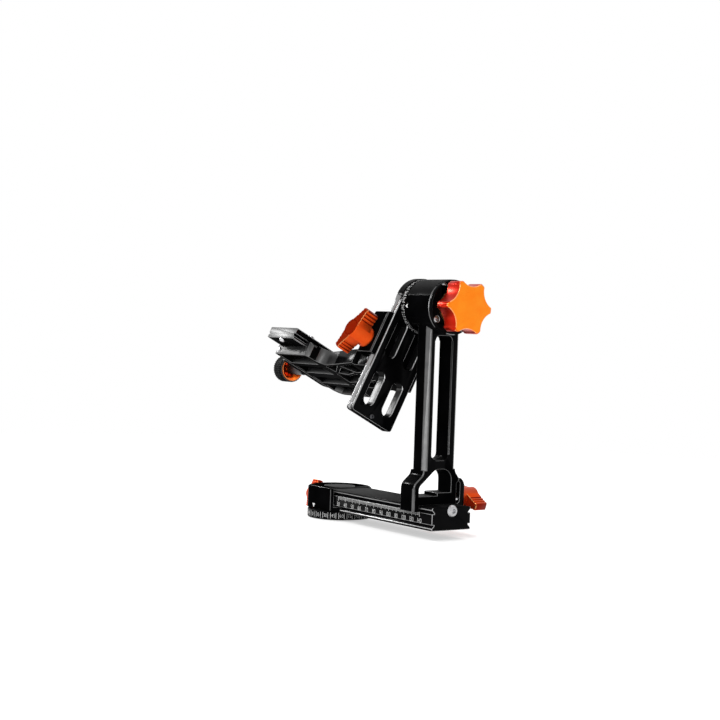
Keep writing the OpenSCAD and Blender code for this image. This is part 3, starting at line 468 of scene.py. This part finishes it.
# the housing is all in the glossless black: painted shade
panHousing = {"node": "pan_housing", "edge": 0.35, "finish": blackGlosslessShade, "edgeFinishAndHighlight": blackEdgeSoft}
panCap = {"node": "pan_cap", "edge": 0.15, "finish": blackSmooth, "edgeFinishAndHighlight": blackEdgeSoft}
baseRail = {"node": "base_rail", "edge": 0.45, "finish": black, "edgeFinishAndHighlight": blackEdge}
uprightArm = {"node": "vertical_arm", "edge": 0.4, "finish": black, "edgeFinishAndHighlight": blackEdgeSoft,
              "segments": 3,
              # chamfer faces towards the strip lamp get the lighter edge metal, a painted
              # highlight, and front faces and low side faces the glossless black, painted shade
              "edgeWhere": lambda at, n: at.y < -11 and n.x > 0.5 and n.y < -0.5,
              "wideEdges": (2.2, lambda at: at.x > 129 and -26 < at.y < -15.4 and 36 < at.z < 54),
              "otherFinish": blackGlosslessShade,
              "otherWhere": lambda at, n: n.y < -0.9 or (at.z < 45 and n.x > 0.9)}
drumCap = {"node": "drum_cap", "edge": 0.3, "finish": blackSmooth, "edgeFinishAndHighlight": blackEdge}
rearJaw = {"node": "foot_jaw", "edge": 0.35, "finish": black, "edgeFinishAndHighlight": blackEdgeSoft}
swingArm = {"node": "swing_arm", "edge": 0.22, "finish": black, "edgeFinishAndHighlight": blackEdge,
            # below the axis, front-facing groove faces get the lighter edge metal and front-facing
            # walls the glossier black: painted highlights
            "edgeWhere": lambda at, n: belowAxis(at) > 18 and n.x > 0.6 and outward(n) < -0.5,
            "otherWhere": lambda at, n: belowAxis(at) > 18 and outward(n) < -0.9}
indexRing = {"node": "index_ring", "edge": 0.15, "finish": blackMatt, "edgeFinishAndHighlight": blackEdgeSoft}
cradle = {"node": "cradle_bracket", "edge": 0.28, "finish": black, "edgeFinishAndHighlight": blackEdgeSoft,
          # its front-facing faces near the bar get the glossier black: a painted highlight
          "otherWhere": lambda at, n: at.x < 50 and outward(n) < -0.3}
# the jaw is all in the glossless black: painted shade
armJaw = {"node": "cradle_jaw", "edge": 0.3, "finish": blackGlosslessShade, "edgeFinishAndHighlight": blackEdgeSoft}
plateJaw = {"node": "lens_jaw", "edge": 0.35, "finish": black, "edgeFinishAndHighlight": blackEdge}
lensPlate = {"node": "lens_plate", "edge": 0.25, "finish": black, "edgeFinishAndHighlight": blackEdge,
             # its front faces get the glossier black: a painted highlight
             "otherWhere": lambda at, n: outward(n) < -0.9}
lensGrip = {"node": "lens_knob_grip", "edge": 0.2, "finish": blackMatt, "edgeFinishAndHighlight": blackEdgeSoft}
for name, part in {"panBase": panBase, "panHousing": panHousing, "panCap": panCap,
                   "baseRail": baseRail, "uprightArm": uprightArm, "drumCap": drumCap,
                   "rearJaw": rearJaw, "swingArm": swingArm, "indexRing": indexRing,
                   "cradle": cradle, "armJaw": armJaw, "plateJaw": plateJaw,
                   "lensPlate": lensPlate, "lensGrip": lensGrip}.items():
    dress(name, part)
print("stage: black pieces dressed")

starKnob = {"node": "tilt_knob", "edge": 0.6, "finish": orangeStar, "edgeFinishAndHighlight": orangeEdge,
            "segments": 3}
panWing = {"node": "pan_knob", "edge": 0.35, "finish": orangeX, "edgeFinishAndHighlight": orangeEdgeSoft}
footWing = {"node": "foot_knob", "edge": 0.45, "finish": orangeY, "edgeFinishAndHighlight": orangeEdgeSoft}
cradleWing = {"node": "cradle_knob", "edge": 0.45, "finish": orangeTilted,
              "edgeFinishAndHighlight": orangeEdgeSoft}
lensDish = {"node": "lens_knob_dish", "edge": 0.2, "finish": orangeDish, "edgeFinishAndHighlight": orangeEdge}
for name, part in {"starKnob": starKnob, "panWing": panWing, "footWing": footWing,
                   "cradleWing": cradleWing, "lensDish": lensDish}.items():
    dress(name, part)
print("stage: knobs dressed")

# small fastenings and hidden parts keep their CAD shape
fastenings = [
    (steelX, "rail_stop_screw pan_knob_stud tilt_bearings drum_cap_screws tilt_shaft "
             "swing_arm_screws tilt_knob_stud lens_pins bearing_spacer"),
    (steelZ, "thread_insert pan_bearings rail_screws foot_pins foot_stud cradle_pins "
             "cradle_stud camera_screws plate_stop_screws pin_lock_screw"),
    (steelDark, "swing_stop_screw pan_circlip foot_clip cradle_clip lens_clip lens_stud "
                "groove_stop_pins"),
    (bronze, "pan_brake_pad thrust_washers"),
]
for material, members in fastenings:
    for member in members.split():
        holder = nodes[member]
        if not holder.material_slots:
            holder.data.materials.append(material)
        for place in holder.material_slots:
            place.material = material
print("stage: fastenings finished")


# rubber pads with cross ribs, in the swing arm's own frame and in millimetres
padStrips = {"x": (-13, 13), "width": 6.0, "start": -41.0, "end": 41.0, "top": -45.7,
             "floor": -47.0, "pitch": 1.25, "depth": 0.45, "profile": (0.22, 0.36, 0.86),
             "chamfer": 0.12, "smoothAngle": 20}


def ribbedPads(pad):
    bm = bmesh.new()
    ribs = int((pad["end"] - pad["start"]) / pad["pitch"])
    step = (pad["end"] - pad["start"]) / ribs
    # each rib takes one step: groove, way up, top and way down, as shares of the step
    grooveEnd, topStart, topEnd = pad["profile"]
    outline = [(0.0, -pad["depth"]), (grooveEnd, -pad["depth"]), (topStart, 0.0), (topEnd, 0.0)]
    half, chamfer = pad["width"] / 2, pad["chamfer"]
    for x in pad["x"]:
        loops = []
        for rib in range(ribs):
            for share, drop in outline:
                y = pad["start"] + (rib + share) * step
                z = pad["top"] + drop
                left, right, low = x - half, x + half, pad["floor"]
                corners = [(left, low), (left, z - chamfer), (left + chamfer, z),
                           (right - chamfer, z), (right, z - chamfer), (right, low)]
                loops.append([bm.verts.new(tilted(px, y, pz)) for px, pz in corners])
        for first, second in zip(loops, loops[1:]):
            for i in range(6):
                bm.faces.new((first[i], first[(i + 1) % 6], second[(i + 1) % 6], second[i]))
        bm.faces.new(loops[0])
        bm.faces.new(loops[-1])
    bmesh.ops.recalc_face_normals(bm, faces=bm.faces)
    mesh = bpy.data.meshes.new("platePads")
    bm.to_mesh(mesh)
    bm.free()
    shadeByAngle(mesh, pad["smoothAngle"])
    addPiece("platePads", mesh, [rubber], "plate", ("plate_pads",))


ribbedPads(padStrips)
print("stage: pads made")


# engraved scales filled with white
digitStyle = {"resolution": 3, "offset": -0.015}


def glyphs():
    # the ten digits as flat meshes one unit tall, centred
    shapes = {}
    for digit in "0123456789":
        curve = bpy.data.curves.new("digit" + digit, "FONT")
        curve.body = digit
        curve.resolution_u = digitStyle["resolution"]
        curve.offset = digitStyle["offset"]
        holder = bpy.data.objects.new("digit" + digit, curve)
        bpy.context.scene.collection.objects.link(holder)
        bpy.context.view_layer.update()
        seen = holder.evaluated_get(bpy.context.evaluated_depsgraph_get())
        mesh = bpy.data.meshes.new_from_object(seen)
        points = [(v.co.x, v.co.y) for v in mesh.vertices]
        low = [min(p[i] for p in points) for i in (0, 1)]
        high = [max(p[i] for p in points) for i in (0, 1)]
        tall = high[1] - low[1]
        middle = [(low[i] + high[i]) / 2 for i in (0, 1)]
        flat = [((x - middle[0]) / tall, (y - middle[1]) / tall) for x, y in points]
        faces = [tuple(p.vertices) for p in mesh.polygons]
        shapes[digit] = (flat, faces, (high[0] - low[0]) / tall)
        bpy.data.objects.remove(holder)
        bpy.data.curves.remove(curve)
        bpy.data.meshes.remove(mesh)
    return shapes


digitShapes = glyphs()


class Scale:
    # marks drawn flat, then laid on a surface by its own function
    def __init__(self, surface):
        self.surface = surface
        self.bm = bmesh.new()

    def face(self, points):
        self.bm.faces.new([self.bm.verts.new(self.surface(u, v)) for u, v in points])

    def bar(self, u, v0, v1, wide):
        half = wide / 2
        self.face([(u - half, v0), (u + half, v0), (u + half, v1), (u - half, v1)])

    def number(self, text, u, v, tall, squeeze=0.8, gap=0.16):
        widths = [digitShapes[c][2] * squeeze for c in text]
        start = -(sum(widths) + gap * (len(text) - 1)) / 2
        for c, wide in zip(text, widths):
            flat, faces = digitShapes[c][:2]
            middle = start + wide / 2
            start += wide + gap
            verts = []
            for x, y in flat:
                place = self.surface(u + (middle + x * squeeze) * tall, v + y * tall)
                verts.append(self.bm.verts.new(place))
            for corners in faces:
                self.bm.faces.new([verts[i] for i in corners])

    def done(self, name, body, facing):
        for face in self.bm.faces:
            face.normal_update()
            if face.normal.dot(facing(face.calc_center_median())) < 0:
                face.normal_flip()
        mesh = bpy.data.meshes.new(name)
        self.bm.to_mesh(mesh)
        self.bm.free()
        addPiece(name, mesh, [ink], body)
        print("  marked", name, "faces", len(mesh.polygons))


def awayFromAxis(p):
    # the way out from the tilt axis at a point in metres
    return Vector((0, p.y, p.z - axisHeight * millimetre))


inkLift = 0.05   # height of the marks above the metal, in millimetres

railScale = {"y": -19.0, "offset": -4.0, "first": 30, "last": 140, "top": 20.8,
             "short": 2.5, "middle": 3.0, "long": 3.6, "tick": 0.24, "longTick": 0.34,
             "numberZ": 14.4, "tall": 3.5, "squeeze": 0.84}


def markRail(scale):
    band = Scale(lambda u, v: Vector((u, scale["y"] - inkLift, v)) * millimetre)
    for s in range(scale["first"], scale["last"] + 1):
        x = s + scale["offset"]
        if s % 10 == 0:
            band.bar(x, scale["top"] - scale["long"], scale["top"], scale["longTick"])
            band.number(str(s), x, scale["numberZ"], scale["tall"], scale["squeeze"])
        else:
            reach = scale["short"] if s % 5 else scale["middle"]
            band.bar(x, scale["top"] - reach, scale["top"], scale["tick"])
    band.done("railScale", "turret", lambda p: Vector((0, -1, 0)))


markRail(railScale)

baseScale = {"radius": 26.8, "low": 1.2, "high": 6.2, "step": 5, "numbered": 15, "tall": 2.9,
             "tick": 0.32}


def markBase(scale):
    def wrap(u, v):
        reach = scale["radius"] + inkLift
        angle = math.radians(u)
        return Vector((reach * math.cos(angle), reach * math.sin(angle), v)) * millimetre
    perDegree = scale["radius"] * math.pi / 180
    wrapped = Scale(lambda u, v: wrap(u / perDegree, v))
    for degrees in range(0, 360, scale["step"]):
        u = (degrees - 90) * perDegree
        if degrees % scale["numbered"]:
            wrapped.bar(u, scale["low"], scale["high"], scale["tick"])
        else:
            wrapped.number(str(degrees), u, (scale["low"] + scale["high"]) / 2, scale["tall"])
    wrapped.done("baseScale", "base", lambda p: Vector((p.x, p.y, 0)))


markBase(baseScale)

ringScale = {"radius": 21.65, "outer": 110.9, "step": 5, "numbered": 15, "numberX": 108.3,
             "tall": 2.7, "long": 1.7, "margin": 0.3, "tick": 0.36}


def markRing(scale):
    def wrap(u, v):
        angle = u / scale["radius"]
        reach = scale["radius"] + inkLift
        return tilted(v, reach * math.cos(angle), reach * math.sin(angle))
    wrapped = Scale(wrap)
    for degrees in range(0, 360, scale["step"]):
        u = math.radians(degrees) * scale["radius"]
        if degrees % scale["numbered"]:
            start, end = scale["outer"] - scale["long"], scale["outer"] - scale["margin"]
            wrapped.bar(u, start, end, scale["tick"])
        else:
            wrapped.number(str(degrees), u, scale["numberX"], scale["tall"])
    wrapped.done("ringScale", "swing", awayFromAxis)


markRing(ringScale)

pointers = {"housing": {"x": -7.5, "y": -21.0, "top": 11.4, "tip": 7.7, "half": 2.0},
            "drum": {"radius": 21.65, "tip": 111.9, "root": 114.7, "at": 179.5, "half": 1.8}}


def markPointers(housing, drum):
    # the white triangles that the two round scales are read against
    flat = Scale(lambda u, v: Vector((u, housing["y"] - inkLift, v)) * millimetre)
    left, right = housing["x"] - housing["half"], housing["x"] + housing["half"]
    flat.face([(left, housing["top"]), (right, housing["top"]), (housing["x"], housing["tip"])])
    flat.done("housingPointer", "turret", lambda p: Vector((0, -1, 0)))

    def wrap(u, v):
        angle = math.radians(drum["at"]) + v / drum["radius"]
        reach = drum["radius"] + inkLift
        y, z = reach * math.cos(angle), axisHeight + reach * math.sin(angle)
        return Vector((u, y, z)) * millimetre
    curved = Scale(wrap)
    curved.face([(drum["tip"], 0), (drum["root"], -drum["half"]), (drum["root"], drum["half"])])
    curved.done("drumPointer", "carriage", awayFromAxis)


markPointers(pointers["housing"], pointers["drum"])
print("stage: scales marked")


# a white floor and room, as in a product photograph
floorPlane = {"rings": (0.12, 0.3, 0.6, 1.0, 1.8, 3.0), "sides": 48, "centreX": 0.05, "z": -0.0004,
              "fadeFrom": 0.25, "fadeTo": 0.9, "white": (0.9, 0.9, 0.9), "lift": 0.5}


def layFloor(floor):
    bm = bmesh.new()
    sides = floor["sides"]
    loops = []
    for radius in floor["rings"]:
        loop = []
        for i in range(sides):
            turn = math.tau * i / sides
            x, y = floor["centreX"] + radius * math.cos(turn), radius * math.sin(turn)
            loop.append(bm.verts.new((x, y, floor["z"])))
        loops.append(loop)
    bm.faces.new(loops[0])
    for inner, outer in zip(loops, loops[1:]):
        for i in range(sides):
            after = (i + 1) % sides
            bm.faces.new((inner[i], outer[i], outer[after], inner[after]))
    mesh = bpy.data.meshes.new("floor")
    bm.to_mesh(mesh)
    bm.free()
    bench = newBench("floorWhite")
    where = bench.place()
    spread = bench.add("ShaderNodeVectorMath", {"operation": "LENGTH"}, {0: where}, "Value")
    # the floor fades out far away and can be seen through from below
    behind = bench.add("ShaderNodeNewGeometry", {}, {}, "Backfacing")
    shown = (1 - spread.between(floor["fadeFrom"], floor["fadeTo"])) * (1 - behind)
    paper = bench.add("ShaderNodeBsdfDiffuse", {}, {"Color": (*floor["white"], 1)})
    glow = bench.add("ShaderNodeEmission", {}, {"Color": (1, 1, 1, 1),
                                                "Strength": bench.seenDirectly() * floor["lift"]})
    lit = bench.add("ShaderNodeAddShader", {}, {0: paper, 1: glow})
    clear = bench.add("ShaderNodeBsdfTransparent", {}, {})
    surface = bench.add("ShaderNodeMixShader", {}, {0: shown, 1: clear, 2: lit})
    bench.add("ShaderNodeOutputMaterial", {}, {"Surface": surface})
    piece = bpy.data.objects.new("floor", mesh)
    bpy.context.scene.collection.objects.link(piece)
    mesh.materials.append(bench.owner)


layFloor(floorPlane)

# powers at which a grey ball beside the head renders at 0.85 to 1.1 times its own colour
lamps = {
    "keySoftbox": {"at": (-1.27, -0.62, 0.82), "aim": (0.07, 0.0, 0.11),
                   "size": (0.22, 0.22), "power": 11.0},
    "stripLamp": {"at": (0.99, -1.155, 0.75), "aim": (0.07, 0.0, 0.75),
                  "size": (0.1, 1.6), "power": 11.0},
    "overhead": {"at": (0.3, 0.4, 1.7), "aim": (0.07, 0.0, 0.11),
                 "size": (0.9, 0.9), "power": 4.0},
}
for name, lamp in lamps.items():
    light = bpy.data.lights.new(name, "AREA")
    light.shape = "RECTANGLE"
    light.size, light.size_y = lamp["size"]
    light.energy = lamp["power"]
    holder = bpy.data.objects.new(name, light)
    holder.location = lamp["at"]
    towards = Vector(lamp["aim"]) - Vector(lamp["at"])
    holder.rotation_euler = towards.to_track_quat("-Z", "Y").to_euler()
    holder.visible_camera = False
    bpy.context.scene.collection.objects.link(holder)

room = {"seen": 1.0, "lighting": 0.5}   # how white the room looks, and how strongly it lights
world = bpy.data.worlds.new("whiteRoom")
bpy.context.scene.world = world
sky = Bench(world)
strength = sky.seenDirectly() * (room["seen"] - room["lighting"]) + room["lighting"]
backdrop = sky.add("ShaderNodeBackground", {}, {"Color": (1, 1, 1, 1), "Strength": strength})
sky.add("ShaderNodeOutputWorld", {}, {"Surface": backdrop})

cameraView = {"azimuth": 54.42, "elevation": 1.32, "roll": 2.01, "lens": 76.105,
              "at": (1.0605, -0.7421, 0.1637), "sensor": 36, "clip": 0.01}


def placeCamera(view):
    azimuth, elevation, roll = (math.radians(view[key]) for key in ("azimuth", "elevation", "roll"))
    across = math.cos(elevation)
    back = Vector((math.sin(azimuth) * across, -math.cos(azimuth) * across, math.sin(elevation)))
    level = Vector((math.cos(azimuth), math.sin(azimuth), 0))
    upright = back.cross(level)
    right = math.cos(roll) * level + math.sin(roll) * upright
    up = -math.sin(roll) * level + math.cos(roll) * upright
    camera = bpy.data.cameras.new("camera")
    camera.sensor_width = view["sensor"]
    camera.lens = view["lens"]
    camera.clip_start = view["clip"]
    holder = bpy.data.objects.new("camera", camera)
    bpy.context.scene.collection.objects.link(holder)
    turned = Matrix((right, up, back)).transposed().to_4x4()
    holder.matrix_world = Matrix.Translation(view["at"]) @ turned
    bpy.context.scene.camera = holder


placeCamera(cameraView)
bpy.context.scene.view_settings.view_transform = "Standard"
print("stage: stage set")

bpy.context.view_layer.update()
